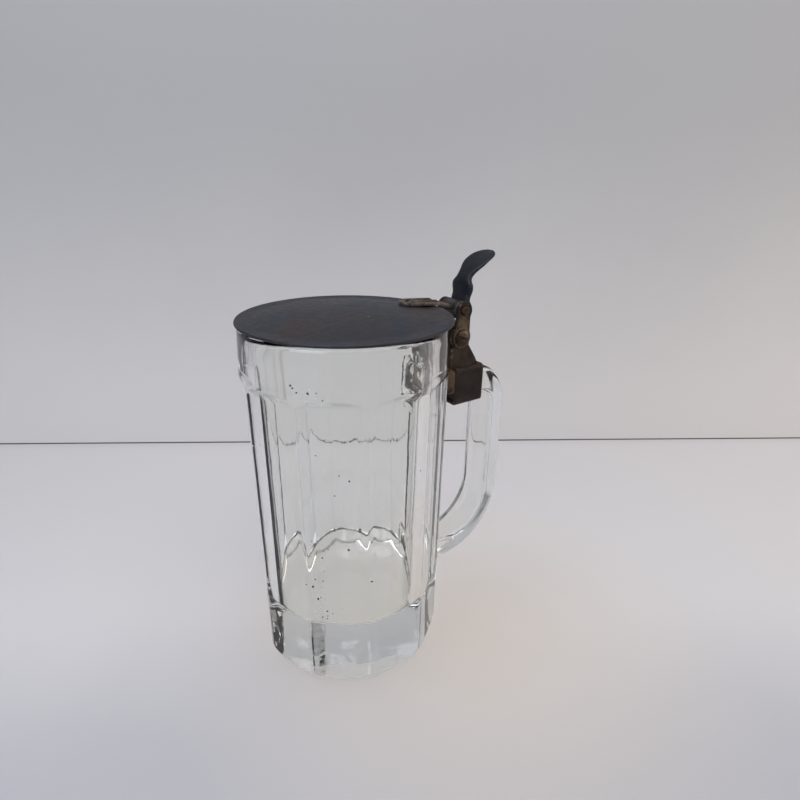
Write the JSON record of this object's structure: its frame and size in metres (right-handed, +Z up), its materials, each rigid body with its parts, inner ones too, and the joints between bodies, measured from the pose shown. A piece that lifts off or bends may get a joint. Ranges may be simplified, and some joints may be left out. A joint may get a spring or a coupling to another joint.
{
  "type": "beer stein",
  "caption": "Clear pressed-glass beer mug with flat arched panels, a cast-on D handle and a flat dark metal lid that swings on a hinge clamped to the handle",
  "frame": {"origin": "middle of the flat foot, on the table", "axes": "+Z up along the mug axis, +X towards the handle, +Y to the far side of the handle; the lid is closed at joint zero"},
  "size_m": [0.1294, 0.087, 0.1733],
  "materials": {
    "clear_glass": "clear pressed soda glass with a faint green-grey tint, seeds and worn edges",
    "packing_cork": "dark pressed cork strip",
    "band_metal": "blackened iron sheet with brown rust bloom",
    "block_metal": "dark brown tarnished casting",
    "cheek_metal": "brown tarnished brass, rubbed on the corners",
    "screw_metal": "tarnished brass screw with a worn slot",
    "pin_metal": "reddish brown riveted pin",
    "lid_metal": "blue-black tarnished tin plate with brown patches",
    "strap_metal": "grey-brown worn strap",
    "lift_metal": "blue-black worn thumb lift"
  },
  "bodies": {
    "mug": {"glass_mug": "clear_glass", "handle_packing": "packing_cork", "clamp_band": "band_metal", "saddle_block": "block_metal", "near_cheek": "cheek_metal", "far_cheek": "cheek_metal", "clamp_screw": "screw_metal", "clamp_washer": "screw_metal", "clamp_nut": "screw_metal", "hinge_pin": "pin_metal"},
    "lid": {"lid_disc": "lid_metal", "lid_strap": "strap_metal", "strap_rivets": "strap_metal", "lid_knuckle": "strap_metal", "thumb_lift": "lift_metal"}
  },
  "joints": [
    {"name": "lid_hinge", "type": "hinge", "parent": "mug", "child": "lid", "pos_m": [0.0577, 0, 0.1481], "axis": [0, 1, 0], "range_deg": [0, 100]}
  ]
}
